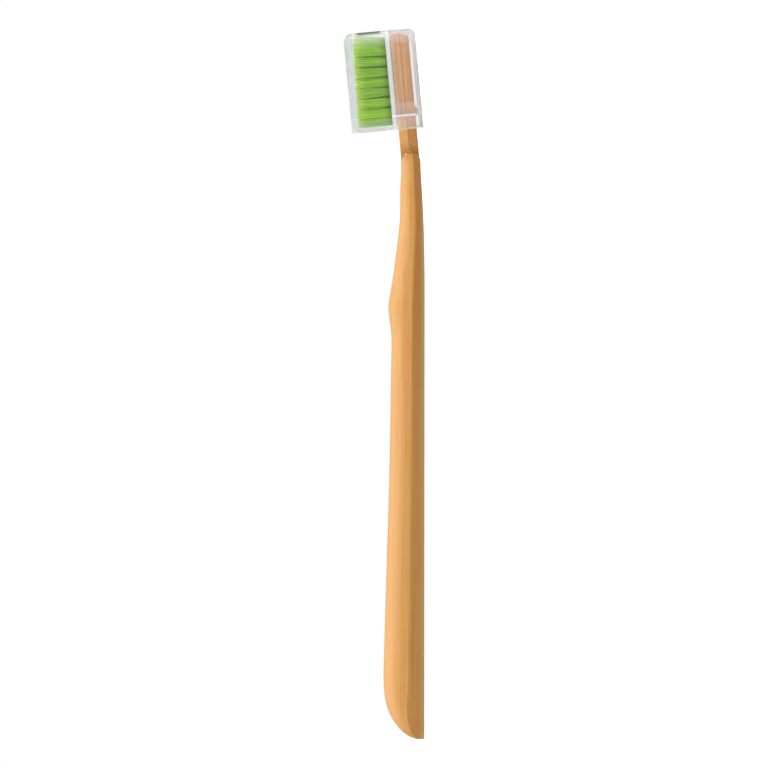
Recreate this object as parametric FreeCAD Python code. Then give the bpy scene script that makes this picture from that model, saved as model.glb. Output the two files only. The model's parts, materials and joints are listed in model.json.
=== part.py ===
import FreeCAD
import Part

import math
import os

# Manual toothbrush lying on its back, with a plug-in head and a clear slip-on cap.
# Lengths are in millimetres and angles in degrees. X runs from the tail to the head, Y across
# and Z up, the way the bristles point. The origin is on the table under the middle of the brush.
# Head, tufts and cap are drawn in the head's own frame: x along the neck from its seat in the
# handle, y across, z towards the bristle tips. That frame is then tilted onto the handle.

# Handle: a rounded stalk with a straight flat back, a thumb bump and a slanting round tail.
HANDLE_LENGTH = 156.4
GRIP_WIDTH = 13.0
GRIP_THICKNESS = 11.0
LAND_WIDTH = 7.0
LAND_TRIM = 0.05
TAIL_LENGTH = 15.0
TAIL_ROUND_LENGTH = 5.5
TAIL_TIP_THICKNESS = 0.5
SEAT_HEIGHT = 3.8
SHOULDER_PROUD = 0.22
LOBE_THICKNESS = 1.8
LOBE_LENGTH = 3.2

# Section of the handle. A narrow ridge runs along each side, with a slanting flank from it down to
# the flat back and a nearly upright wall above it. The wall leans in towards a share of the half
# width at the front. The others are shares of the flank that the back edge and the ridge are
# rounded over, and of the wall where the ridge's rounding ends and the rounded front starts.
LEAN_SHARE = 0.88
BACK_EDGE_SHARE = 0.25
RIDGE_FLANK_SHARE = 0.12
RIDGE_WALL_SHARE = 0.05
FRONT_START_SHARE = 0.35

# Stations of the handle: place along its length, width between shoulder and grip, front
# between shoulder and grip, lift of the back between table and shoulder, and height of the
# ridge in the thickness.
HANDLE_STATION_SHARES = (
    (0.096, 1.000, 1.000, 0.00, 0.385),
    (0.150, 0.993, 0.978, 0.00, 0.380),
    (0.205, 0.978, 0.925, 0.00, 0.375),
    (0.332, 0.913, 0.795, 0.00, 0.375),
    (0.460, 0.848, 0.660, 0.00, 0.375),
    (0.575, 0.826, 0.590, 0.00, 0.375),
    (0.665, 0.870, 0.543, 0.00, 0.370),
    (0.709, 0.935, 0.562, 0.00, 0.355),
    (0.730, 0.967, 0.656, 0.00, 0.340),
    (0.748, 1.000, 0.717, 0.00, 0.335),
    (0.773, 0.978, 0.611, 0.00, 0.335),
    (0.809, 0.848, 0.411, 0.07, 0.340),
    (0.847, 0.630, 0.253, 0.13, 0.335),
    (0.882, 0.413, 0.104, 0.22, 0.325),
    (0.921, 0.217, 0.020, 0.43, 0.325),
    (0.962, 0.065, 0.010, 0.77, 0.330),
    (1.000, 0.000, 0.000, 1.00, 0.340),
)

# The tail ends as a quarter ellipse. Its sections stand at these angles of it, and the ridge
# rises to this share of the thickness at the tip.
TAIL_SECTION_ANGLES = (4, 10, 20, 33, 48, 66)
TAIL_RIDGE_SHARE = 0.56

# Sections of the rounded end beside the neck, as shares of its length.
LOBE_SECTION_SHARES = (0.0, 0.30, 0.55, 0.72, 0.82, 0.90)

# Head, neck and tang, one moulding with its parting line at half its thickness.
HEAD_TILT = 5.3
HEAD_THICKNESS = 4.95
NECK_WIDTH = 4.6
NECK_LENGTH = 9.6
NECK_CLEARANCE = 0.1
SEAT_GAP = 0.05
HEEL_LENGTH = 3.4
HEEL_MARGIN = 0.87
HEEL_ROUND = 4.5
NECK_ROUND = 3.5
SIDE_MARGIN = 1.02
TIP_MARGIN = 1.1
TIP_CORNER_SHARE = 0.89
FACE_DRAFT = 0.35
BACK_DRAFT = 0.85
FACE_ROUND = 0.4
BACK_ROUND = 0.9
TANG_WIDTH = 3.0
TANG_THICKNESS = 2.6
TANG_LENGTH = 14.0
TANG_TAPER = 0.35
TANG_CLEARANCE = 0.08
KEY_WIDTH = 1.0
KEY_LENGTH = 1.7
KEY_REACH = 0.5
KEY_CLEARANCE = 0.08

# Tufts: five columns, each half a pitch from its neighbours and, towards the middle, one longer.
OUTER_TUFTS = 7
COLUMNS = 5
TUFT_PITCH = 2.69
COLUMN_PITCH = 1.84
HOLE_DIAMETER = 1.8
HOLE_DEPTH = 3.2
BRISTLE_LENGTH = 10.0
TUFT_FIT = 0.03
TUFT_TIP_GAP = 0.2
FAN_ALONG = 0.42
FAN_ACROSS = 0.2

# Anchors: a flat brass plate that holds each folded tuft in its hole.
ANCHOR_THICKNESS = 0.3
ANCHOR_HEIGHT = 1.3
ANCHOR_BITE = 0.15
ANCHOR_FOLD = 0.4
ANCHOR_FIT = 0.02

# Cap: thin-walled box, wider round the head than round the bristles, open at the neck.
CAP_WALL = 0.7
CAP_LENGTH = 26.7
CAP_END_CLEARANCE = 0.2
CAP_BACK_CLEARANCE = 1.15
CAP_FRONT_CLEARANCE = 1.65
CAP_SIDE_CLEARANCE = 0.95
CAP_TUFT_CLEARANCE = 0.35
CAP_STEP_CLEARANCE = 0.5
CAP_END_ROUND = 3.6
CAP_FRONT_ROUND = 1.8
CAP_BACK_ROUND = 1.3
CAP_STEP_ROUND = 0.3
CATCH_SETBACK = 3.5
CATCH_LENGTH = 3.6
CATCH_CLEARANCE = 0.2
VENT_LENGTH = 6.2
VENT_WIDTH = 4.0
VENT_ROUND = 1.0
VENT_HEIGHT_SHARE = 0.56

# How far a cutting shape runs past what it cuts.
OVERRUN = 2.0

# Sizes that follow from the ones above.
HEAD_HALF = HEAD_THICKNESS / 2
HEAD_WIDTH = (COLUMNS - 1) * COLUMN_PITCH + HOLE_DIAMETER + 2 * SIDE_MARGIN
ROW_PITCH = TUFT_PITCH / 2
MIDDLE_COLUMN = COLUMNS // 2
ROWS = 2 * (OUTER_TUFTS + MIDDLE_COLUMN) - 1
LAST_OUTER_ROW = NECK_LENGTH + HEEL_LENGTH + HEEL_MARGIN
TIP_ROW = LAST_OUTER_ROW + (ROWS - 1 - MIDDLE_COLUMN) * ROW_PITCH
FAR_ROW = (ROWS - 1) / 2 * ROW_PITCH
MIDDLE_ROW = TIP_ROW - FAR_ROW
HEAD_REACH = TIP_ROW + HOLE_DIAMETER / 2 + TIP_MARGIN
SHOULDER_WIDTH = NECK_WIDTH + 2 * (NECK_CLEARANCE + LOBE_THICKNESS)
SHOULDER_HALF = HEAD_HALF + SHOULDER_PROUD
SHOULDER_TOP = SEAT_HEIGHT + SHOULDER_HALF
SHOULDER_LIFT = SEAT_HEIGHT - SHOULDER_HALF
FAR_COLUMN = MIDDLE_COLUMN * COLUMN_PITCH
TIP_ROW_PITCH = ROW_PITCH * (1 + FAN_ALONG / FAR_ROW)
TIP_COLUMN_PITCH = COLUMN_PITCH * (1 + FAN_ACROSS / FAR_COLUMN)
TIP_PITCH = min(2 * TIP_ROW_PITCH, 2 * TIP_COLUMN_PITCH, math.hypot(TIP_ROW_PITCH, TIP_COLUMN_PITCH))
TUFT_TIP_RADIUS = (TIP_PITCH - TUFT_TIP_GAP) / 2
TUFT_ROOT_RADIUS = HOLE_DIAMETER / 2 - TUFT_FIT
HOLE_FLOOR = HEAD_HALF - HOLE_DEPTH
CAP_END = HEAD_REACH + CAP_END_CLEARANCE + CAP_WALL
CAP_MOUTH = CAP_END - CAP_LENGTH
CAP_BACK = -(HEAD_HALF + CAP_BACK_CLEARANCE + CAP_WALL)
CAP_STEP = HEAD_HALF + CAP_STEP_CLEARANCE + CAP_WALL
CAP_FRONT = HEAD_HALF + BRISTLE_LENGTH + CAP_FRONT_CLEARANCE + CAP_WALL
CAP_HEAD_HALF = HEAD_WIDTH / 2 + CAP_SIDE_CLEARANCE + CAP_WALL
CAP_TUFT_HALF = FAR_COLUMN + FAN_ACROSS + TUFT_TIP_RADIUS + CAP_TUFT_CLEARANCE + CAP_WALL
TILT = math.radians(HEAD_TILT)


def quarter_ellipse(start, corner, end):
    """Exact quarter ellipse from start to end, inside the corner of its two tangents."""
    curve = Part.BezierCurve()
    curve.setPoles([start, corner, end])
    curve.setWeight(2, math.sqrt(0.5))
    return curve.toShape()


def rounded_polygon(points, radii):
    """Closed wire through the points, each corner rounded by its own radius."""
    runs = []
    for index, point in enumerate(points):
        before = (points[index - 1] - point).normalize()
        after = (points[(index + 1) % len(points)] - point).normalize()
        half_angle = before.getAngle(after) / 2
        back = radii[index] / math.tan(half_angle)
        inward = (before + after).normalize()
        to_arc = radii[index] / math.sin(half_angle) - radii[index]
        runs.append((point + before * back, point + inward * to_arc, point + after * back))
    edges = []
    for index, (start, middle, end) in enumerate(runs):
        if radii[index] > 0:
            edges.append(Part.Arc(start, middle, end).toShape())
        edges.append(Part.LineSegment(end, runs[(index + 1) % len(runs)][0]).toShape())
    return Part.Wire(edges)


def box_between(low, high):
    """Box with its lowest and highest corners given."""
    size = [b - a for a, b in zip(low, high)]
    return Part.makeBox(*size, FreeCAD.Vector(*low))


def prism(wire, direction):
    """Solid swept straight from a flat closed wire."""
    return Part.Face(wire).extrude(direction)


def on_handle(shape):
    """Copy of a shape from the head's frame, tilted onto the seat in the handle."""
    placed = shape.copy()
    turn = FreeCAD.Rotation(FreeCAD.Vector(0, 1, 0), -HEAD_TILT)
    placed.Placement = FreeCAD.Placement(FreeCAD.Vector(HANDLE_LENGTH, 0, SEAT_HEIGHT), turn)
    return placed


def half_section(x, side, width, top, bottom, ridge_share):
    """Edges of one half of the handle's section, from its flat back round to the front."""
    half = side * width / 2
    land = FreeCAD.Vector(x, half * LAND_WIDTH / GRIP_WIDTH, bottom)
    ridge = FreeCAD.Vector(x, half, bottom + ridge_share * (top - bottom))
    lean = FreeCAD.Vector(x, half * LEAN_SHARE, top)
    front = FreeCAD.Vector(x, 0, top)
    flank = ridge - land
    wall = lean - ridge
    edge_round = BACK_EDGE_SHARE * flank.Length
    back = land - FreeCAD.Vector(0, side * edge_round, 0)
    above_land = land + flank * BACK_EDGE_SHARE
    below_ridge = ridge - flank * RIDGE_FLANK_SHARE
    above_ridge = ridge + wall * RIDGE_WALL_SHARE
    front_start = ridge + wall * FRONT_START_SHARE
    return back, [
        quarter_ellipse(back, land, above_land),
        Part.LineSegment(above_land, below_ridge).toShape(),
        quarter_ellipse(below_ridge, ridge, above_ridge),
        Part.LineSegment(above_ridge, front_start).toShape(),
        quarter_ellipse(front_start, lean, front),
    ]


def handle_section(x, width, top, bottom, ridge_share):
    """Closed section of the handle across X, alike on both sides."""
    right_back, right = half_section(x, 1, width, top, bottom, ridge_share)
    left_back, left = half_section(x, -1, width, top, bottom, ridge_share)
    land = Part.LineSegment(left_back, right_back).toShape()
    return Part.Wire([land] + right + left[::-1])


def tail_sections():
    """Sections of the tail: its front rises as a quarter ellipse and its width as a shorter one."""
    first = math.cos(math.radians(TAIL_SECTION_ANGLES[0]))
    grip_ridge = HANDLE_STATION_SHARES[0][-1]
    sections = []
    for angle in TAIL_SECTION_ANGLES:
        turn = math.radians(angle)
        x = TAIL_LENGTH * (first - math.cos(turn))
        short = max(0, 1 - TAIL_LENGTH * (1 - math.cos(turn)) / TAIL_ROUND_LENGTH)
        width = GRIP_WIDTH * math.sqrt(1 - short ** 2)
        top = TAIL_TIP_THICKNESS + (GRIP_THICKNESS - TAIL_TIP_THICKNESS) * math.sin(turn)
        ridge_share = grip_ridge + (TAIL_RIDGE_SHARE - grip_ridge) * math.cos(turn)
        sections.append(handle_section(x, width, top, -LAND_TRIM, ridge_share))
    return sections


def handle_stalk():
    """Stalk of the handle, lofted through the tail and its stations."""
    sections = tail_sections()
    for along, wide, front, lift, ridge_share in HANDLE_STATION_SHARES:
        width = SHOULDER_WIDTH + (GRIP_WIDTH - SHOULDER_WIDTH) * wide
        top = SHOULDER_TOP + (GRIP_THICKNESS - SHOULDER_TOP) * front
        bottom = SHOULDER_LIFT * lift - LAND_TRIM * (1 - lift)
        sections.append(handle_section(HANDLE_LENGTH * along, width, top, bottom, ridge_share))
    return Part.makeLoft(sections, True, False)


def handle_lobes():
    """Rounded end of the handle: its shoulder section shrinking as a quarter ellipse."""
    ridge_share = HANDLE_STATION_SHARES[-1][-1]
    sections = []
    for share in LOBE_SECTION_SHARES:
        size = math.sqrt(1 - share ** 2)
        reach = LOBE_LENGTH * share
        x = HANDLE_LENGTH + reach * math.cos(TILT)
        centre = SEAT_HEIGHT + reach * math.sin(TILT)
        top, bottom = centre + SHOULDER_HALF * size, centre - SHOULDER_HALF * size
        sections.append(handle_section(x, SHOULDER_WIDTH * size, top, bottom, ridge_share))
    return Part.makeLoft(sections, True, False)


def above_table():
    """Space over the table that the handle is kept in, so that its back is flat."""
    far = HANDLE_LENGTH + LOBE_LENGTH + OVERRUN
    return box_between((-OVERRUN, -GRIP_WIDTH, 0), (far, GRIP_WIDTH, GRIP_THICKNESS + OVERRUN))


def tang(clearance):
    """Tapered tang below the neck, or the socket for it when given a clearance."""
    sections = []
    for x in (NECK_CLEARANCE, -TANG_LENGTH - clearance):
        narrowing = TANG_TAPER * x / TANG_LENGTH
        y = TANG_WIDTH / 2 + clearance + narrowing
        z = TANG_THICKNESS / 2 + clearance + narrowing
        corners = [(x, -y, -z), (x, y, -z), (x, y, z), (x, -y, z), (x, -y, -z)]
        sections.append(Part.makePolygon([FreeCAD.Vector(*corner) for corner in corners]))
    return Part.makeLoft(sections, True, True)


def side_key(side, clearance):
    """Small key on one side of the neck, or the notch for it when given a clearance."""
    outer = NECK_WIDTH / 2 + KEY_REACH + clearance
    z = KEY_WIDTH / 2 + clearance
    start = LOBE_LENGTH - KEY_LENGTH - clearance
    low, high = sorted((0, side * outer))
    return box_between((start, low, -z), (LOBE_LENGTH, high, z))


def neck_slot():
    """Slot between the lobes, with the drafted sides of the neck drawn on past its faces."""
    half = NECK_WIDTH / 2 + NECK_CLEARANCE
    face = half - FACE_DRAFT * HEAD_THICKNESS / HEAD_HALF
    back = half - BACK_DRAFT * HEAD_THICKNESS / HEAD_HALF
    side = [(back, -HEAD_THICKNESS), (half, 0), (face, HEAD_THICKNESS)]
    corners = side + [(-y, z) for y, z in side[::-1]] + side[:1]
    wire = Part.makePolygon([FreeCAD.Vector(0, y, z) for y, z in corners])
    return prism(wire, FreeCAD.Vector(LOBE_LENGTH + OVERRUN, 0, 0))


def make_handle():
    """Handle with its flat back, round tail, lobes beside the neck and socket for the tang."""
    body = handle_stalk().fuse(handle_lobes()).common(above_table())
    keys = [side_key(1, KEY_CLEARANCE), side_key(-1, KEY_CLEARANCE)]
    cuts = [neck_slot(), tang(TANG_CLEARANCE)] + keys
    return body.cut([on_handle(shape) for shape in cuts]).removeSplitter()


def head_outline(inset, z):
    """Outline of neck and head from above, drawn in by an inset, at height z."""
    neck = NECK_WIDTH / 2 - inset
    wide = HEAD_WIDTH / 2 - inset
    flank = math.atan2(wide - neck, HEEL_LENGTH)
    shift = inset * math.tan(flank / 2)
    heel = NECK_LENGTH + shift
    tip = HEAD_REACH - inset
    corner = HEAD_WIDTH / 2 * TIP_CORNER_SHARE - inset
    half = [(-OVERRUN, neck, 0), (heel, neck, NECK_ROUND + inset),
            (heel + HEEL_LENGTH, wide, HEEL_ROUND - inset), (tip, wide, corner)]
    rows = [(x, -y, r) for x, y, r in half] + half[::-1]
    points = [FreeCAD.Vector(x, y, z) for x, y, r in rows]
    return rounded_polygon(points, [r for x, y, r in rows])


def tuft_places():
    """Tufts row by row from the tip: the row, the number in the row and the place of each."""
    places = []
    for row in range(ROWS):
        from_end = min(row, ROWS - 1 - row)
        reach = [c for c in range(-MIDDLE_COLUMN, MIDDLE_COLUMN + 1)
                 if abs(c) <= from_end and (row - c) % 2 == 0]
        for number, column in enumerate(reach):
            places.append((row + 1, number + 1, TIP_ROW - row * ROW_PITCH, column * COLUMN_PITCH))
    return places


def make_head():
    """Head, neck, keys and tang, with the tuft holes."""
    middle = head_outline(0, 0)
    halves = []
    for z, draft in ((HEAD_HALF, FACE_DRAFT), (-HEAD_HALF, BACK_DRAFT)):
        halves.append(Part.makeLoft([middle, head_outline(draft, z)], True, True))
    body = halves[0].fuse(halves[1])
    below = box_between((-OVERRUN, -NECK_WIDTH, -HEAD_THICKNESS), (SEAT_GAP, NECK_WIDTH, HEAD_THICKNESS))
    body = body.cut(below)
    for z, radius in ((HEAD_HALF, FACE_ROUND), (-HEAD_HALF, BACK_ROUND)):
        body = body.makeFillet(radius, rim_edges(body, z, SEAT_GAP))
    body = body.fuse([tang(0), side_key(1, 0), side_key(-1, 0)])
    up = FreeCAD.Vector(0, 0, 1)
    holes = []
    for row, number, x, y in tuft_places():
        foot = FreeCAD.Vector(x, y, HOLE_FLOOR)
        holes.append(Part.makeCylinder(HOLE_DIAMETER / 2, HOLE_DEPTH + OVERRUN, foot, up))
    return body.cut(holes).removeSplitter()


def rim_edges(body, z, start):
    """Edges round the flat face at height z, leaving out the one across x = start."""
    slack = SEAT_GAP / 2
    rim = []
    for edge in body.Edges:
        box = edge.BoundBox
        flat = abs(box.ZMin - z) < slack and abs(box.ZMax - z) < slack
        if flat and box.XMax > start + slack:
            rim.append(edge)
    return rim


def anchor_box(x, y, fit):
    """Anchor plate across a tuft hole, or the slot for it in the tuft when given a fit."""
    half = HOLE_DIAMETER / 2 + ANCHOR_BITE
    low = HOLE_FLOOR + ANCHOR_FOLD
    thick = ANCHOR_THICKNESS / 2 + fit
    high = low + ANCHOR_HEIGHT
    return box_between((x - half, y - thick, low - fit), (x + half, y + thick, high + fit))


def make_anchors():
    """All the anchor plates, as separate solids."""
    return Part.makeCompound([anchor_box(x, y, 0) for row, number, x, y in tuft_places()])


def make_tuft(x, y):
    """One tuft: a root folded round its anchor, and bristles that widen and fan to the tips."""
    up = FreeCAD.Vector(0, 0, 1)
    foot = FreeCAD.Vector(x, y, HOLE_FLOOR + TUFT_FIT)
    face = FreeCAD.Vector(x, y, HEAD_HALF)
    along = FAN_ALONG * (x - MIDDLE_ROW) / FAR_ROW
    across = FAN_ACROSS * y / FAR_COLUMN
    fan = FreeCAD.Vector(along, across, BRISTLE_LENGTH)
    root = Part.makeCylinder(TUFT_ROOT_RADIUS, HOLE_DEPTH - TUFT_FIT, foot, up)
    rings = [Part.Wire(Part.makeCircle(TUFT_ROOT_RADIUS, face, up)),
             Part.Wire(Part.makeCircle(TUFT_TIP_RADIUS, face + fan, up))]
    bristles = Part.makeLoft(rings, True, True)
    return root.fuse(bristles).cut(anchor_box(x, y, ANCHOR_FIT)).removeSplitter()


def cap_box(mouth, end, half, heights, plan_round, rounds):
    """Box from mouth to end with rounded end corners and rounded rims below and above."""
    low, high = heights
    corners = [(mouth, -half), (end, -half), (end, half), (mouth, half)]
    points = [FreeCAD.Vector(x, y, low) for x, y in corners]
    outline = rounded_polygon(points, [0, plan_round, plan_round, 0])
    body = prism(outline, FreeCAD.Vector(0, 0, high - low))
    for z, radius in zip(heights, rounds):
        if radius > 0:
            body = body.makeFillet(radius, rim_edges(body, z, mouth))
    return body


def cap_form(inset, mouth):
    """Closed form of the cap, drawn in by an inset: a wide box for the head, a narrower for tufts."""
    grow = CAP_WALL - inset
    end = CAP_END - inset
    plan_round = CAP_END_ROUND + grow
    head_room = cap_box(mouth, end, CAP_HEAD_HALF - inset, (CAP_BACK + inset, CAP_STEP - inset),
                        plan_round, (CAP_BACK_ROUND + grow, CAP_STEP_ROUND + grow))
    tuft_room = cap_box(mouth, end, CAP_TUFT_HALF - inset, (0, CAP_FRONT - inset),
                        plan_round, (0, CAP_FRONT_ROUND + grow))
    return head_room.fuse(tuft_room)


def cap_catch(side):
    """Cross rib inside one wall of the cap, steep towards the mouth and sloping to the tip."""
    start = CAP_MOUTH + CATCH_SETBACK
    root = CAP_HEAD_HALF - CAP_WALL / 2
    crest = HEAD_WIDTH / 2 + CATCH_CLEARANCE
    low = CAP_BACK + CAP_WALL / 2
    corners = [(start, root), (start, crest), (start + CATCH_LENGTH, root), (start, root)]
    wire = Part.makePolygon([FreeCAD.Vector(x, side * y, low) for x, y in corners])
    return prism(wire, FreeCAD.Vector(0, 0, CAP_STEP - CAP_WALL / 2 - low))


def make_cap():
    """Clear cap: a shell open at the mouth, with two catches and a vent in its end."""
    shell = cap_form(0, CAP_MOUTH).cut(cap_form(CAP_WALL, CAP_MOUTH - OVERRUN))
    shell = shell.fuse([cap_catch(1), cap_catch(-1)])
    centre = HEAD_HALF + BRISTLE_LENGTH * VENT_HEIGHT_SHARE
    y = VENT_WIDTH / 2
    z = VENT_LENGTH / 2
    vent = [(-y, centre - z), (y, centre - z), (y, centre + z), (-y, centre + z)]
    points = [FreeCAD.Vector(HEAD_REACH, a, b) for a, b in vent]
    wire = rounded_polygon(points, [VENT_ROUND] * len(points))
    hole = prism(wire, FreeCAD.Vector(CAP_END - HEAD_REACH + OVERRUN, 0, 0))
    return shell.cut(hole).removeSplitter()


def brush_length():
    """Length from the tail to the furthest point of the cap's rounded back corner."""
    corner = CAP_BACK_ROUND + CAP_WALL
    along = (CAP_END - corner) * math.cos(TILT)
    drop = (CAP_BACK + corner) * math.sin(TILT)
    return HANDLE_LENGTH + along - drop + corner


def export(shape, node):
    """Write one node with the origin under the middle of the brush."""
    placed = shape.copy()
    placed.translate(FreeCAD.Vector(-brush_length() / 2, 0, 0))
    placed.exportStep("parts/" + node + ".step")


def main():
    os.makedirs("parts", exist_ok=True)
    export(make_handle(), "handle")
    export(on_handle(make_head()), "brush_head")
    export(on_handle(make_anchors()), "tuft_anchors")
    for row, number, x, y in tuft_places():
        export(on_handle(make_tuft(x, y)), "tuft_row%d_%d" % (row, number))
    export(on_handle(make_cap()), "cap")


main()
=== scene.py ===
import json
import math
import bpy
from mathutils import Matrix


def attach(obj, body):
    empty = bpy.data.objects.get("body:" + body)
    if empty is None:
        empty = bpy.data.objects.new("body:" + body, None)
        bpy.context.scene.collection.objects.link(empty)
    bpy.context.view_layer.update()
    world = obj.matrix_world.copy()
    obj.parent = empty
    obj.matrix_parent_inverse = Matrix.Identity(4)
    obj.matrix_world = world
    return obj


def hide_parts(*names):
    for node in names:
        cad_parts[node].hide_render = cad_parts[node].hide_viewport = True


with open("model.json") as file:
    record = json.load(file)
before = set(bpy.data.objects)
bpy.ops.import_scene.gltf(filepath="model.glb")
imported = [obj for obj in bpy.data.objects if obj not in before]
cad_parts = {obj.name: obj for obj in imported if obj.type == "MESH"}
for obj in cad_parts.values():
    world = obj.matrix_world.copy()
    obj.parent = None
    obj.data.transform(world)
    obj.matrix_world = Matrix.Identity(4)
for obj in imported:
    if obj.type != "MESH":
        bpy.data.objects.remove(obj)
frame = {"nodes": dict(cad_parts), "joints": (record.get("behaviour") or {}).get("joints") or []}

from types import SimpleNamespace

import bpy
import numpy as np
from mathutils import Matrix, Vector

# Manual toothbrush lying on its back under a clear cap, dressed for a plain studio picture.
# Lengths are in metres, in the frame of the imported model: X from the tail to the head, Y across,
# Z up, the way the bristles point. The head is tilted, so bristles, head and cap are worked out on
# the head's own axes: along the slide that draws it out, across, and up from its back.

MM = 0.001
FULL_TURN = 2 * math.pi
UPRIGHT = (0, 0, 1)
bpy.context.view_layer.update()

# The view: the brush stands upright in the picture, seen from its side, a little from the tip end.
PICTURE_SPAN = 206.95 * MM
VIEW_CENTRE = Vector((0.52 * MM, 0, 10.9 * MM))
VIEW_TOWARDS_TIP = math.radians(4.5)
VIEW_REACH = 20.0
LENS = 200.0
SENSOR = 36.0

# Filaments of a tuft: their number, size, root in the hole, and rings by share of the height.
FILAMENTS = 60
FILAMENT_RADIUS = 0.1 * MM
FILAMENT_SIDES = 6
FILAMENT_ROOT = 1.4 * MM
FILAMENT_RING_SHARES = (0.0, 0.12, 0.35, 0.65, 0.97, 1.0)
FILAMENT_TIP_SHARE = 0.55

# How filaments outreach the solid tuft and are trimmed, and how they lean, spread and bend.
FILAMENT_GAIN = 0.3 * MM
FILAMENT_TRIM = 1.5 * MM
TRIM_POWER = 0.55
HEEL_GAIN = 0.45 * MM
END_LEAN = 0.28 * MM
HEEL_LEAN = 0.7 * MM
LEAN_POWER = 4
SPREAD_POWER = 0.45
TIP_SPREAD = (1.32, 1.08)
FILAMENT_BEND = 0.16 * MM
FILAMENT_STRAY = 0.38 * MM
STRAY_SHARE = 0.12
ACROSS_BEND_SHARE = 0.45
GOLDEN_ANGLE = math.pi * (3 - math.sqrt(5))
BRISTLE_SEED = 7

# Nylon: clumps of like green in a tuft, and where along the height the painted shade at the root
# and the pale tip fade.
TONE_CLUMPS = 9
CLUMP_SHARE = 0.6
ROOT_SHADE_FADE = (0.0, 0.3)
TIP_FADE = (0.7, 1.12)
NYLON_ROUGHNESS = 0.38
NYLON_IOR = 1.53

# Colours, linear.
HANDLE_GOLD = (0.615, 0.292, 0.036)
HANDLE_BLUSH = (0.64, 0.28, 0.05)
# The handle's edge colour is a painted reflection along its back, its rim colour a painted
# highlight, and its deep colour both the fine streaks and painted shade.
HANDLE_BACK_REFLECTION = (0.68, 0.385, 0.135)
HANDLE_DEEP_AND_SHADE = (0.57, 0.212, 0.008)
HANDLE_RIM_HIGHLIGHT = (0.86, 0.5, 0.14)
HEAD_GOLD = (0.82, 0.395, 0.075)
HEAD_BLUSH = (0.82, 0.372, 0.1)
# The head's deep colour is both its fine streaks and painted shade; its edge colour is a painted
# highlight.
HEAD_DEEP_AND_SHADE = (0.5, 0.205, 0.01)
HEAD_HIGHLIGHT = (0.98, 0.66, 0.3)
BRISTLE_GREEN = (0.46, 0.84, 0.014)
BRISTLE_DEEP = (0.25, 0.6, 0.004)
BRISTLE_TIP = (0.74, 0.9, 0.14)
# The root colour is painted shade where the filaments crowd.
BRISTLE_ROOT_SHADE = (0.08, 0.22, 0.002)
BRASS = (0.62, 0.42, 0.14)
BRASS_DEEP = (0.496, 0.336, 0.112)
CAP_CLEAR = (0.96, 0.965, 0.96)
CAP_FRONT_TINT = (0.83, 0.86, 0.84)
CAP_HEAD_TINT = (0.885, 0.87, 0.92)
CAP_BACK_TINT = (0.83, 0.825, 0.845)
CAP_EDGE_TINT = (0.95, 0.95, 0.955)
CAP_DEPTH_TINT = (0.62, 0.65, 0.65)
# Painted shade on the walls of the vent slot.
VENT_PAINTED_SHADE = (0.1, 0.14, 0.03)
FLOOR_PALE = (0.5, 0.5, 0.5)
WHITE = (1.0, 1.0, 1.0)

# Noises, each as its waves to the metre along X, Y and Z, its detail and its shift.
BROAD_STREAKS = ((28, 620, 620), 2, 0.0)
FINE_STREAKS = ((45, 1700, 1700), 3, 7.3)
PLASTIC_GRAIN = ((400, 3500, 3500), 2, 3.1)
BRASS_LINES = ((300, 6000, 6000), 2, 0.0)
CAP_WAVES = ((140, 140, 140), 2, 0.0)

# Streaked plastic: the span of each noise that shows, its roughness and gloss, and its relief.
BROAD_SPAN = (0.4, 0.6)
FINE_SPAN = (0.48, 0.7)
GRAIN_SMOOTHER = 0.05
GRAIN_ROUGHER = 0.07
PLASTIC_IOR = 1.5
PLASTIC_GLOSS = 1.0
STREAK_STRENGTH = 0.25
STREAK_RELIEF = 0.02 * MM
BRASS_ROUGHNESS = (0.28, 0.42)

# Half the width over which one tone turns into the next.
SOFT_EDGE = 0.25 * MM

# Handle: worn edges, painted highlights on the rims of its lobes, a painted reflection along its
# back, and painted shade under the ridge along its side.
HANDLE_STREAKS = 0.7
HANDLE_ROUGHNESS = 0.46
EDGE_WEAR = 0.3 * MM
EDGE_SAMPLES = 6
BACK_REFLECTION_REACH = 1.5 * MM
LOBE_RIM = 0.9 * MM
LOBE_RIDGE = 3.3 * MM
LOBE_SHADE_REACH = 4.0 * MM
FLANK_SHADE_REACH = (-15.0 * MM, 35.0 * MM)
FLANK_SHADE = 0.7

# Head: painted shade on its neck and towards its back, a painted highlight along its face's edge,
# and a painted highlight above and painted shade below the ridge of its side.
HEAD_STREAKS = 0.4
HEAD_ROUGHNESS = 0.44
NECK_SHADE = 0.45
NECK_SHADE_REACH = 4.0 * MM
BACK_SHADE = 0.6
FACE_HIGHLIGHT_REACH = 1.2 * MM
RIDGE_BAND_WIDTH = 0.3 * MM
RIDGE_RISE = 0.35 * MM
RIDGE_HIGHLIGHT = 0.3
RIDGE_SHADE = 0.65

# Cap: sizes of its wall, catch, roundings and vent, and how far its margins and hazes reach.
CAP_WALL = 0.7 * MM
CATCH_SETBACK = 3.5 * MM
CATCH_LENGTH = 3.6 * MM
CATCH_LEDGE = 0.45 * MM
CAP_END_ROUND = 3.6 * MM
EDGE_ROUND = 1.6 * MM
BACK_ROUND = 1.3 * MM
VENT_LENGTH = 6.2 * MM
VENT_WIDTH = 4.0 * MM
VENT_RISE = 5.6 * MM
VENT_LIP = 0.55 * MM
FRONT_MARGIN = 2.35 * MM
STEP_EDGE = 1.4 * SOFT_EDGE
MOUTH_HAZE = 3.2 * MM
HEEL_HAZE = 4.4 * MM
TIP_HAZE = 5.2 * MM

# Cap: the share of light that each frosted place holds back.
TUFT_FROST = 0.012
HEAD_FROST = 0.04
TIP_FROST = 0.22
HEEL_FROST = 0.17
MOUTH_FROST = 0.07
CATCH_FROST = 0.14
LEDGE_FROST = 0.75
STEP_FROST = 0.5
END_FROST = 0.12
RIM_FROST = 0.3

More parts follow.
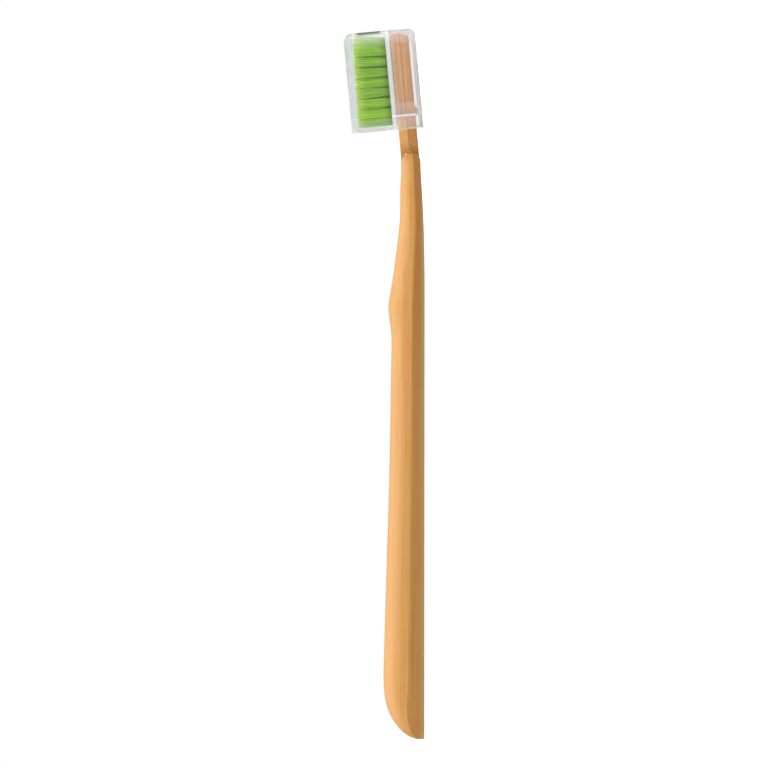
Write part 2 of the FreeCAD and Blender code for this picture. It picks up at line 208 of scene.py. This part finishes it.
# Cap: its gloss, the roughness of its walls and what its roundings add, and its depth of grey.
CAP_IOR = 1.15
CAP_COAT = 0.25
CAP_COAT_ROUGHNESS = 0.06
CAP_ROUGHNESS = (0.1, 0.16)
EDGE_BLUR = 0.25
CAP_DEPTH_DENSITY = 85.0

# Floor: it glows, so that it is as pale as the background.
FLOOR_REACH = 4.0
FLOOR_DROP = 0.05 * MM
FLOOR_ROUGHNESS = 0.9
FLOOR_GLOW = 0.62

# Light from all round: an even fill and soft patches, each with where it stands, the angles from
# there to its edge and to its even middle, and its strength.
FILL_LIGHT = 0.46
SOFT_PATCHES = (
    ((0, 0.1, 1), 55, 15, 1.3),
    ((0, -0.45, 0.9), 30, 10, 0.48),
    ((0, -0.8, 0.6), 28, 8, 0.55),
    ((0, -0.97, 0.25), 50, 15, 0.2),
    ((0.8, -0.5, 0.3), 40, 12, 1.1),
    ((-0.8, -0.5, 0.3), 40, 12, 1.06),
    ((1, 0, 0.1), 65, 25, 0.58),
    ((0, 1, 0), 80, 40, 0.26),
)
BACKGROUND_LIGHT = 1.0
BOUNCES = 24
GLOSSY_BOUNCES = 16
CLEAR_BOUNCES = 20


def head_axes():
    """Axes of the tilted head: along its slide, across, and from its back to the bristle tips."""
    slide = next(joint for joint in frame["joints"] if joint["name"] == "head_pull")
    along = np.array(slide["axis"], float)
    along /= np.linalg.norm(along)
    across = np.array([0.0, 1.0, 0.0])
    return np.stack([along, across, np.cross(along, across)])


HEAD_AXES = head_axes()
HEAD_ALONG, HEAD_ACROSS, HEAD_UP = HEAD_AXES


def node_points(node):
    """Points of a CAD node, measured along the axes of the head."""
    mesh = frame["nodes"][node].data
    points = np.zeros(len(mesh.vertices) * 3)
    mesh.vertices.foreach_get("co", points)
    return points.reshape(-1, 3) @ HEAD_AXES.T


def brush_marks():
    """Places that the finishes follow, along and up the head's axes, measured on the solids."""
    handle, head, cap = (node_points(node) for node in ("handle", "brush_head", "cap"))
    side = np.abs(cap[:, 1])
    return SimpleNamespace(
        lobes=handle[:, 0].max(),
        head_back=head[:, 2].min(),
        head_face=head[:, 2].max(),
        mouth=cap[:, 0].min(),
        end=cap[:, 0].max(),
        cap_back=cap[:, 2].min(),
        cap_front=cap[:, 2].max(),
        step=cap[side > side.max() - CAP_WALL, 2].max(),
    )


MARKS = brush_marks()


def add_mesh(name, points, faces, smooth=True):
    """New mesh object at the origin from whole arrays of points and faces."""
    mesh = bpy.data.meshes.new(name)
    mesh.from_pydata(points, [], faces)
    mesh.polygons.foreach_set("use_smooth", [smooth] * len(mesh.polygons))
    mesh.update()
    piece = bpy.data.objects.new(name, mesh)
    bpy.context.scene.collection.objects.link(piece)
    return piece


def add_value(piece, name, values):
    """One number for each point of a piece, for its material to read."""
    attribute = piece.data.attributes.new(name, "FLOAT", "POINT")
    attribute.data.foreach_set("value", np.ascontiguousarray(values, np.float32).ravel())


# Values and tones that the materials are made of.


def value_of(tree, operation, first, second):
    """Value worked out from two others, each a socket or a plain number."""
    node = tree.nodes.new("ShaderNodeMath")
    node.operation = operation
    for socket, value in zip(node.inputs, (first, second)):
        if isinstance(value, (int, float)):
            socket.default_value = value
        else:
            tree.links.new(value, socket)
    return node.outputs["Value"]


def times(tree, first, second):
    """One value times another."""
    return value_of(tree, "MULTIPLY", first, second)


def largest(tree, first, *others):
    """The largest of some values."""
    for other in others:
        first = value_of(tree, "MAXIMUM", first, other)
    return first


def opposite(tree, value):
    """One less a value."""
    return value_of(tree, "SUBTRACT", 1.0, value)


def carried(tree, value, source, target=(0.0, 1.0), smooth=False):
    """Carry a value from its source span to a target span, and hold it at both ends."""
    node = tree.nodes.new("ShaderNodeMapRange")
    node.interpolation_type = "SMOOTHSTEP" if smooth else "LINEAR"
    for name, number in zip(("From Min", "From Max", "To Min", "To Max"), (*source, *target)):
        node.inputs[name].default_value = number
    tree.links.new(value, node.inputs["Value"])
    return node.outputs["Result"]


def between(tree, value, low, high):
    """Turn a value from 0 to 1 into one from low to high."""
    return carried(tree, value, (0.0, 1.0), (low, high))


def soft_step(tree, value, low, high):
    """Nought below low and one above high, smooth between; turned round if low is the higher."""
    if low < high:
        return carried(tree, value, (low, high), (0.0, 1.0), smooth=True)
    return carried(tree, value, (high, low), (1.0, 0.0), smooth=True)


def soft_band(tree, value, low, high, edge, height):
    """Height between low and high, nought an edge outside them."""
    rise = soft_step(tree, value, low - edge, low)
    fall = soft_step(tree, value, high + edge, high)
    return times(tree, times(tree, rise, fall), height)


def distance_along(tree, vector, axis):
    """How far a vector reaches along an axis."""
    dot = tree.nodes.new("ShaderNodeVectorMath")
    dot.operation = "DOT_PRODUCT"
    tree.links.new(vector, dot.inputs[0])
    dot.inputs[1].default_value = axis
    return dot.outputs["Value"]


def place_along(tree, *axes):
    """Where a point is along each of the given axes."""
    place = tree.nodes.new("ShaderNodeTexCoord").outputs["Object"]
    return [distance_along(tree, place, axis) for axis in axes]


def stretched_noise(tree, waves, detail, shift):
    """Noise on Object coordinates, with its own number of waves to the metre along X, Y and Z."""
    place = tree.nodes.new("ShaderNodeTexCoord")
    mapping = tree.nodes.new("ShaderNodeMapping")
    mapping.inputs["Scale"].default_value = waves
    mapping.inputs["Location"].default_value = (shift, shift, shift)
    noise = tree.nodes.new("ShaderNodeTexNoise")
    noise.inputs["Scale"].default_value = 1.0
    noise.inputs["Detail"].default_value = detail
    tree.links.new(place.outputs["Object"], mapping.inputs["Vector"])
    tree.links.new(mapping.outputs["Vector"], noise.inputs["Vector"])
    return noise.outputs["Fac"]


def colour_mix(tree, value, first, second):
    """Colour that goes from the first to the second as the value goes from 0 to 1."""
    node = tree.nodes.new("ShaderNodeMix")
    node.data_type = "RGBA"
    tree.links.new(value, node.inputs["Factor"])
    colour_inputs = [socket for socket in node.inputs if socket.type == "RGBA"]
    for socket, colour in zip(colour_inputs, (first, second)):
        if isinstance(colour, tuple):
            socket.default_value = (*colour, 1)
        else:
            tree.links.new(colour, socket)
    return next(socket for socket in node.outputs if socket.type == "RGBA")


# Materials.


def new_material(name):
    """Material with a node tree, its tree and its main shader."""
    material = bpy.data.materials.new(name)
    material.use_nodes = True
    tree = material.node_tree
    return material, tree, tree.nodes["Principled BSDF"]


def streaked_plastic(name, gold, blush, deep, streaks, roughness):
    """Satin plastic with broad streaks of gold and blush along it, and darker fine ones.

    Gives the material, its tree and shader, the tone so far and the noise of the fine streaks.
    """
    material, tree, shader = new_material(name)
    broad = stretched_noise(tree, *BROAD_STREAKS)
    fine = stretched_noise(tree, *FINE_STREAKS)
    tone = colour_mix(tree, carried(tree, broad, BROAD_SPAN), gold, blush)
    tone = colour_mix(tree, times(tree, carried(tree, fine, FINE_SPAN), streaks), tone, deep)
    grain = stretched_noise(tree, *PLASTIC_GRAIN)
    grain = between(tree, grain, roughness - GRAIN_SMOOTHER, roughness + GRAIN_ROUGHER)
    tree.links.new(grain, shader.inputs["Roughness"])
    shader.inputs["IOR"].default_value = PLASTIC_IOR
    shader.inputs["Specular IOR Level"].default_value = PLASTIC_GLOSS
    return material, tree, shader, tone, fine


def streak_relief(tree, shader, fine, normal=None):
    """Fine streaks felt as relief, on the surface's own normal or a given one."""
    node = tree.nodes.new("ShaderNodeBump")
    node.inputs["Strength"].default_value = STREAK_STRENGTH
    node.inputs["Distance"].default_value = STREAK_RELIEF
    tree.links.new(fine, node.inputs["Height"])
    if normal is not None:
        tree.links.new(normal, node.inputs["Normal"])
    tree.links.new(node.outputs["Normal"], shader.inputs["Normal"])


def handle_plastic():
    """The handle's plastic, its edges worn round, with painted highlights on the rims of its lobes,
    a painted reflection along its back and painted shade under the ridge.
    """
    material, tree, shader, tone, fine = streaked_plastic(
        "handle_plastic", HANDLE_GOLD, HANDLE_BLUSH, HANDLE_DEEP_AND_SHADE, HANDLE_STREAKS, HANDLE_ROUGHNESS)
    along, height = place_along(tree, HEAD_ALONG, UPRIGHT)
    rim_start = MARKS.lobes - LOBE_RIM
    # Painted shade below the ridge, near the lobes and along the flank.
    above = soft_step(tree, height, LOBE_RIDGE - SOFT_EDGE, LOBE_RIDGE + SOFT_EDGE)
    lobe_shade = soft_step(tree, along, MARKS.lobes - LOBE_SHADE_REACH, rim_start)
    flank_shade = times(tree, soft_step(tree, along, *FLANK_SHADE_REACH), FLANK_SHADE)
    painted_shade = times(tree, opposite(tree, above), largest(tree, lobe_shade, flank_shade))
    # Painted highlight on the rims of the lobes, above the ridge.
    rim_highlight = times(tree, above, soft_step(tree, along, rim_start, rim_start + LOBE_RIM / 2))
    # Painted reflection along the back edge.
    back = soft_step(tree, height, BACK_REFLECTION_REACH, 0.0)
    for place, colour in ((painted_shade, HANDLE_DEEP_AND_SHADE), (rim_highlight, HANDLE_RIM_HIGHLIGHT), (back, HANDLE_BACK_REFLECTION)):
        tone = colour_mix(tree, place, tone, colour)
    tree.links.new(tone, shader.inputs["Base Color"])
    worn = tree.nodes.new("ShaderNodeBevel")
    worn.samples = EDGE_SAMPLES
    worn.inputs["Radius"].default_value = EDGE_WEAR
    streak_relief(tree, shader, fine, worn.outputs["Normal"])
    return material


def head_plastic():
    """The head's plastic: painted highlights on its face's edge and side ridge, painted shade
    towards its back, on its neck and under the ridge.
    """
    material, tree, shader, tone, fine = streaked_plastic(
        "head_plastic", HEAD_GOLD, HEAD_BLUSH, HEAD_DEEP_AND_SHADE, HEAD_STREAKS, HEAD_ROUGHNESS)
    along, up = place_along(tree, HEAD_ALONG, HEAD_UP)
    face, back, mouth = MARKS.head_face, MARKS.head_back, MARKS.mouth
    middle = (back + face) / 2
    ridge = middle + RIDGE_RISE
    under_ridge = (ridge - 2 * RIDGE_BAND_WIDTH, ridge - RIDGE_BAND_WIDTH)
    in_cap = soft_step(tree, along, mouth - CAP_WALL, mouth + CAP_WALL)
    lower = soft_step(tree, up, middle + SOFT_EDGE, middle - SOFT_EDGE)
    # Painted shade on the neck by the handle, on its lower side out of the cap, towards the back
    # and under the ridge.
    painted_shade = largest(
        tree,
        soft_step(tree, along, MARKS.lobes + NECK_SHADE_REACH, MARKS.lobes),
        times(tree, times(tree, lower, opposite(tree, in_cap)), NECK_SHADE),
        times(tree, soft_step(tree, up, middle, back), BACK_SHADE),
        soft_band(tree, up, *under_ridge, RIDGE_BAND_WIDTH / 2, RIDGE_SHADE),
    )
    # Painted highlights above the ridge and along the face's edge.
    painted_highlight = largest(
        tree,
        soft_band(tree, up, ridge, ridge + RIDGE_BAND_WIDTH, RIDGE_BAND_WIDTH / 2, RIDGE_HIGHLIGHT),
        soft_step(tree, up, face - FACE_HIGHLIGHT_REACH, face),
    )
    tone = colour_mix(tree, painted_shade, tone, HEAD_DEEP_AND_SHADE)
    tone = colour_mix(tree, times(tree, painted_highlight, in_cap), tone, HEAD_HIGHLIGHT)
    tree.links.new(tone, shader.inputs["Base Color"])
    streak_relief(tree, shader, fine)
    return material


def bristle_nylon():
    """Green nylon: each filament has its own depth of green, painted shade at its root and a paler
    cut end.
    """
    material, tree, shader = new_material("bristle_nylon")
    own = tree.nodes.new("ShaderNodeAttribute")
    own.attribute_name = "filament_tone"
    height = tree.nodes.new("ShaderNodeAttribute")
    height.attribute_name = "filament_height"
    # Painted shade at the root, where the filaments crowd.
    root = carried(tree, height.outputs["Fac"], ROOT_SHADE_FADE)
    tip = carried(tree, height.outputs["Fac"], TIP_FADE)
    green = colour_mix(tree, own.outputs["Fac"], BRISTLE_DEEP, BRISTLE_GREEN)
    green = colour_mix(tree, root, BRISTLE_ROOT_SHADE, green)
    tree.links.new(colour_mix(tree, tip, green, BRISTLE_TIP), shader.inputs["Base Color"])
    shader.inputs["Roughness"].default_value = NYLON_ROUGHNESS
    shader.inputs["IOR"].default_value = NYLON_IOR
    return material


def anchor_brass():
    """Stamped brass strip with faint drawing lines."""
    material, tree, shader = new_material("anchor_brass")
    lines = stretched_noise(tree, *BRASS_LINES)
    tree.links.new(colour_mix(tree, lines, BRASS_DEEP, BRASS), shader.inputs["Base Color"])
    tree.links.new(between(tree, lines, *BRASS_ROUGHNESS), shader.inputs["Roughness"])
    shader.inputs["Metallic"].default_value = 1.0
    return material


def cap_frost(tree):
    """Frosted places of the cap: a fine haze all over, more where it catches, steps and ends.

    Beside the bristles the haze rises towards the tip and the heel. Where places meet, the most
    frosted one shows.
    """
    along, up = place_along(tree, HEAD_ALONG, HEAD_UP)
    mouth, end, step = MARKS.mouth, MARKS.end, MARKS.step
    catch = mouth + CATCH_SETBACK
    round_start = end - CAP_END_ROUND
    inner_end = end - CAP_WALL
    beside_head = soft_step(tree, up, step, step - CAP_WALL)
    over_head = soft_band(tree, up, MARKS.head_back, step, SOFT_EDGE, 1.0)
    ledge = soft_band(tree, along, catch, catch + CATCH_LEDGE, SOFT_EDGE / 2, LEDGE_FROST)
    slope = soft_band(tree, along, mouth, catch + CATCH_LENGTH, SOFT_EDGE, CATCH_FROST)
    rounding = soft_step(tree, along, round_start - SOFT_EDGE, round_start + SOFT_EDGE)
    tip = times(tree, soft_step(tree, along, end - TIP_HAZE, inner_end),
                soft_step(tree, along, inner_end, inner_end - CAP_WALL))
    heel = soft_step(tree, along, mouth + HEEL_HAZE, mouth)
    tuft_haze = largest(tree, times(tree, tip, TIP_FROST), times(tree, heel, HEEL_FROST))
    return largest(
        tree,
        times(tree, over_head, largest(tree, ledge, slope)),
        soft_band(tree, up, MARKS.head_face + SOFT_EDGE, step, STEP_EDGE, STEP_FROST),
        soft_band(tree, along, mouth, mouth + CAP_WALL / 2, SOFT_EDGE, RIM_FROST),
        times(tree, soft_step(tree, along, mouth + MOUTH_HAZE, mouth), MOUTH_FROST),
        times(tree, opposite(tree, beside_head), tuft_haze),
        times(tree, times(tree, rounding, beside_head), END_FROST),
        times(tree, beside_head, HEAD_FROST),
        TUFT_FROST,
    )


def vent_walls(tree):
    """One on the walls of the vent slot in the cap's end, else nought."""
    along, across, up = place_along(tree, HEAD_ALONG, HEAD_ACROSS, HEAD_UP)
    centre = MARKS.head_face + VENT_RISE
    half_length, half_width = VENT_LENGTH / 2, VENT_WIDTH / 2
    inner_end = MARKS.end - CAP_WALL
    edge = SOFT_EDGE / 2
    long_way = soft_band(tree, up, centre - half_length, centre + half_length, edge, 1.0)
    short_way = soft_band(tree, across, -half_width, half_width, edge, 1.0)
    at_end = soft_band(tree, along, inner_end, inner_end + VENT_LIP, edge, 1.0)
    return times(tree, at_end, times(tree, long_way, short_way))


def cap_tint(tree):
    """Tint of the cap: clear beside the bristles, greyer before them, by the head and behind it."""
    along, up = place_along(tree, HEAD_ALONG, HEAD_UP)
    head_back, mouth, step = MARKS.head_back, MARKS.mouth, MARKS.step
    front = MARKS.cap_front - FRONT_MARGIN
    back = MARKS.cap_back + BACK_ROUND
    tint = colour_mix(tree, soft_step(tree, up, step - CAP_WALL, step), CAP_HEAD_TINT, CAP_CLEAR)
    for place, colour in (
        (soft_step(tree, up, head_back + SOFT_EDGE, head_back), CAP_BACK_TINT),
        (soft_step(tree, up, back, back - BACK_ROUND / 2), CAP_EDGE_TINT),
        (soft_step(tree, along, mouth + MOUTH_HAZE, mouth), CAP_FRONT_TINT),
        (soft_step(tree, up, front, front + SOFT_EDGE), CAP_FRONT_TINT),
    ):
        tint = colour_mix(tree, place, tint, colour)
    return tint


def cap_roundings(tree):
    """One on the rounded long edges and end of the cap, nought between."""
    along, up = place_along(tree, HEAD_ALONG, HEAD_UP)
    low, high = MARKS.cap_back + EDGE_ROUND, MARKS.cap_front - EDGE_ROUND
    flat = soft_band(tree, up, low, high, EDGE_ROUND / 2, 1.0)
    at_end = soft_step(tree, along, MARKS.end - EDGE_ROUND, MARKS.end - CAP_WALL)
    return largest(tree, opposite(tree, flat), at_end)


def clear_plastic():
    """Clear plastic with a light grey depth, frosted where the mould steps, rounds and catches,
    with painted shade on the walls of its vent slot.
    """
    material, tree, shader = new_material("clear_plastic")
    # The vent walls are made opaque and take painted shade.
    vent_shade_mask = vent_walls(tree)
    tint = colour_mix(tree, vent_shade_mask, cap_tint(tree), VENT_PAINTED_SHADE)
    frost = largest(tree, cap_frost(tree), vent_shade_mask)
    walls = between(tree, stretched_noise(tree, *CAP_WAVES), *CAP_ROUGHNESS)
    blur = times(tree, cap_roundings(tree), EDGE_BLUR)
    tree.links.new(tint, shader.inputs["Base Color"])
    tree.links.new(opposite(tree, frost), shader.inputs["Transmission Weight"])
    tree.links.new(value_of(tree, "ADD", walls, blur), shader.inputs["Roughness"])
    shader.inputs["IOR"].default_value = CAP_IOR
    shader.inputs["Coat Weight"].default_value = CAP_COAT
    shader.inputs["Coat Roughness"].default_value = CAP_COAT_ROUGHNESS
    depth = tree.nodes.new("ShaderNodeVolumeAbsorption")
    depth.inputs["Color"].default_value = (*CAP_DEPTH_TINT, 1)
    depth.inputs["Density"].default_value = CAP_DEPTH_DENSITY
    tree.links.new(depth.outputs["Volume"], tree.nodes["Material Output"].inputs["Volume"])
    return material


def dress(node, material):
    """Give a CAD node its finish."""
    for slot in frame["nodes"][node].material_slots:
        slot.material = material


# Bristles.


def on_circle(turn):
    """Points of the unit circle at the given turns, as pairs of along and across."""
    return np.stack([np.cos(turn), np.sin(turn)], axis=-1)


def middle_of(points):
    """Middle of the box round some points."""
    return (points.min(0) + points.max(0)) / 2


def tuft_points(node, face, from_heel, draw):
    """Points of a tuft's filaments, as filament, ring, side, axis.

    The filaments start in a sunflower pattern: the share of the tuft's radius is the root of the
    filament's share of the count, and each is turned by the golden angle from the one before. Each
    runs straight up out of the hole. The pattern then spreads from the root circle to the tip
    circle by a power of the height, fast at first, while the tuft's middle leans evenly, and each
    filament bends away from that by the square of its height. Tufts near the heel of the head are
    a little longer, and those at either end lean towards the tip, by a power of the share from the
    other end. Each filament is trimmed by a power of an even draw, so that few are left long.
    """
    solid = node_points(node)
    floor, top = solid[:, 2].min(), solid[:, 2].max()
    root = solid[solid[:, 2] < floor + FILAMENT_RADIUS, :2]
    tip = solid[solid[:, 2] > top - FILAMENT_RADIUS, :2]
    lean = END_LEAN * from_heel ** LEAN_POWER + HEEL_LEAN * (1 - from_heel) ** LEAN_POWER
    root_centre = middle_of(root)
    tip_centre = middle_of(tip) + np.array([lean, 0])
    root_reach = np.ptp(root[:, 1]) / 2 - FILAMENT_RADIUS
    tip_reach = np.array(TIP_SPREAD) * np.ptp(tip[:, 1]) / 2 - FILAMENT_RADIUS
    count = np.arange(FILAMENTS)
    turn = count * GOLDEN_ANGLE + draw.uniform(0, FULL_TURN)
    share = np.sqrt((count + 0.5) / FILAMENTS)
    pattern = share[:, None] * on_circle(turn)
    bend_turn = draw.uniform(0, FULL_TURN, FILAMENTS)
    stray = draw.uniform(0, 1, FILAMENTS) < STRAY_SHARE
    bend_size = draw.uniform(0, 1, FILAMENTS) * np.where(stray, FILAMENT_STRAY, FILAMENT_BEND)
    bend = bend_size[:, None] * on_circle(bend_turn) * np.array([1, ACROSS_BEND_SHARE])
    height = (top - face) + FILAMENT_GAIN + HEEL_GAIN * (1 - from_heel)
    height = height - FILAMENT_TRIM * draw.uniform(0, 1, FILAMENTS) ** TRIM_POWER

    rise = np.array(FILAMENT_RING_SHARES)[None, :, None]
    reach = root_reach + (tip_reach - root_reach) * rise ** SPREAD_POWER
    middle = root_centre + (tip_centre - root_centre) * rise
    line = middle + pattern[:, None] * reach + bend[:, None] * rise ** 2
    level = face + height[:, None] * rise[..., 0]
    centres = np.concatenate([line, level[..., None]], axis=-1)
    foot = centres[:, :1] - np.array([0, 0, FILAMENT_ROOT])
    centres = np.concatenate([foot, centres], axis=1)
    width = np.full(centres.shape[1], FILAMENT_RADIUS)
    width[-1] *= FILAMENT_TIP_SHARE
    section = on_circle(np.arange(FILAMENT_SIDES) * FULL_TURN / FILAMENT_SIDES)
    points = np.repeat(centres[:, :, None], FILAMENT_SIDES, axis=2)
    points[..., :2] += width[None, :, None, None] * section[None, None]
    return points


def filament_faces(rings):
    """Faces of all filaments of a tuft: quads between rings, and a closed face at each end."""
    side = np.arange(FILAMENT_SIDES)
    after = (side + 1) % FILAMENT_SIDES
    starts = np.arange(FILAMENTS)[:, None] * rings * FILAMENT_SIDES
    low = starts[:, :, None] + np.arange(rings - 1)[None, :, None] * FILAMENT_SIDES
    high = low + FILAMENT_SIDES
    walls = np.stack([low + side, low + after, high + after, high + side], axis=-1)
    tips = starts + (rings - 1) * FILAMENT_SIDES + side
    feet = starts + side[::-1]
    return walls.reshape(-1, 4).tolist() + tips.tolist() + feet.tolist()


def tuft_tones(draw):
    """Depth of green of each filament: partly its clump's, partly its own."""
    turn = np.arange(FILAMENTS) * GOLDEN_ANGLE % FULL_TURN
    clump = (turn // (FULL_TURN / TONE_CLUMPS)).astype(int)
    shared = draw.uniform(0, 1, TONE_CLUMPS)[clump]
    return CLUMP_SHARE * shared + (1 - CLUMP_SHARE) * draw.uniform(0, 1, FILAMENTS)


def make_tuft(node, face, from_heel, draw, nylon):
    """One tuft of filaments in place of its CAD solid."""
    points = tuft_points(node, face, from_heel, draw)
    grid = points.shape[:3]
    corners = (points.reshape(-1, 3) @ HEAD_AXES).tolist()
    piece = add_mesh("bristles_" + node, corners, filament_faces(grid[1]))
    tone = tuft_tones(draw)[:, None, None]
    height = (points[..., 2] - face) / (points[..., 2].max() - face)
    add_value(piece, "filament_tone", np.broadcast_to(tone, grid))
    add_value(piece, "filament_height", height)
    piece.data.materials.append(nylon)
    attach(piece, "head")
    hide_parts(node)


def make_bristles():
    """All tufts, from the CAD nodes that hold their places."""
    nylon = bristle_nylon()
    draw = np.random.default_rng(BRISTLE_SEED)
    nodes = sorted(node for node in frame["nodes"] if node.startswith("tuft_row"))
    places = {node: node_points(node)[:, 0].mean() for node in nodes}
    heel, end = min(places.values()), max(places.values())
    for node in nodes:
        make_tuft(node, MARKS.head_face, (places[node] - heel) / (end - heel), draw, nylon)


# Studio.


def floor_finish():
    """Plain pale surface that glows evenly."""
    material, _, shader = new_material("pale_floor")
    shader.inputs["Base Color"].default_value = (*FLOOR_PALE, 1)
    shader.inputs["Roughness"].default_value = FLOOR_ROUGHNESS
    shader.inputs["Emission Color"].default_value = (*WHITE, 1)
    shader.inputs["Emission Strength"].default_value = FLOOR_GLOW
    return material


def make_floor():
    """Pale floor, a flat square just under the brush."""
    signs = ((-1, -1), (1, -1), (1, 1), (-1, 1))
    corners = [(x * FLOOR_REACH, y * FLOOR_REACH, -FLOOR_DROP) for x, y in signs]
    floor = add_mesh("floor", corners, [(0, 1, 2, 3)], smooth=False)
    floor.data.materials.append(floor_finish())
    floor.visible_diffuse = False
    floor.visible_glossy = False
    floor.visible_shadow = False


def soft_patch(tree, direction, towards, edge, full, strength):
    """Light from a round patch of sky: nothing outside the edge angle, even inside the full one."""
    nearness = distance_along(tree, direction, Vector(towards).normalized())
    span = math.cos(math.radians(edge)), math.cos(math.radians(full))
    return carried(tree, nearness, span, (0.0, strength), smooth=True)


def white_behind(tree):
    """One where a ray comes straight from the camera, or from it through the cap, else nought."""
    path = tree.nodes.new("ShaderNodeLightPath")
    unscattered = value_of(tree, "LESS_THAN", path.outputs["Diffuse Depth"], 0.5)
    through = times(tree, path.outputs["Is Transmission Ray"], unscattered)
    return largest(tree, path.outputs["Is Camera Ray"], through)


def make_sky():
    """Soft studio light: an even fill and the soft patches added up, with plain white behind."""
    world = bpy.data.worlds.new("studio")
    bpy.context.scene.world = world
    world.use_nodes = True
    tree = world.node_tree
    direction = tree.nodes.new("ShaderNodeTexCoord").outputs["Generated"]
    total = FILL_LIGHT
    for patch in SOFT_PATCHES:
        total = value_of(tree, "ADD", soft_patch(tree, direction, *patch), total)
    behind = tree.nodes.new("ShaderNodeMix")
    behind.inputs["B"].default_value = BACKGROUND_LIGHT
    tree.links.new(white_behind(tree), behind.inputs["Factor"])
    tree.links.new(total, behind.inputs["A"])
    background = tree.nodes["Background"]
    background.inputs["Color"].default_value = (*WHITE, 1)
    tree.links.new(behind.outputs["Result"], background.inputs["Strength"])


def make_camera():
    """Long lens on the brush's side, turned so that its tip is up in the picture."""
    data = bpy.data.cameras.new("camera")
    data.lens = LENS
    data.sensor_width = SENSOR
    data.clip_end = VIEW_REACH
    camera = bpy.data.objects.new("camera", data)
    bpy.context.scene.collection.objects.link(camera)
    back = Vector((math.sin(VIEW_TOWARDS_TIP), -math.cos(VIEW_TOWARDS_TIP), 0))
    right = Vector((0, 0, -1))
    up = back.cross(right)
    turn = Matrix((right, up, back)).transposed().to_4x4()
    distance = PICTURE_SPAN * LENS / SENSOR
    camera.matrix_world = Matrix.Translation(VIEW_CENTRE + back * distance) @ turn
    bpy.context.scene.camera = camera


def light_paths():
    """Let light bounce often enough inside the clear cap."""
    cycles = bpy.context.scene.cycles
    cycles.max_bounces = BOUNCES
    cycles.glossy_bounces = GLOSSY_BOUNCES
    cycles.transmission_bounces = CLEAR_BOUNCES


dress("handle", handle_plastic())
dress("brush_head", head_plastic())
dress("tuft_anchors", anchor_brass())
dress("cap", clear_plastic())
make_bristles()
make_floor()
make_sky()
make_camera()
light_paths()
bpy.context.scene.view_settings.view_transform = "Standard"
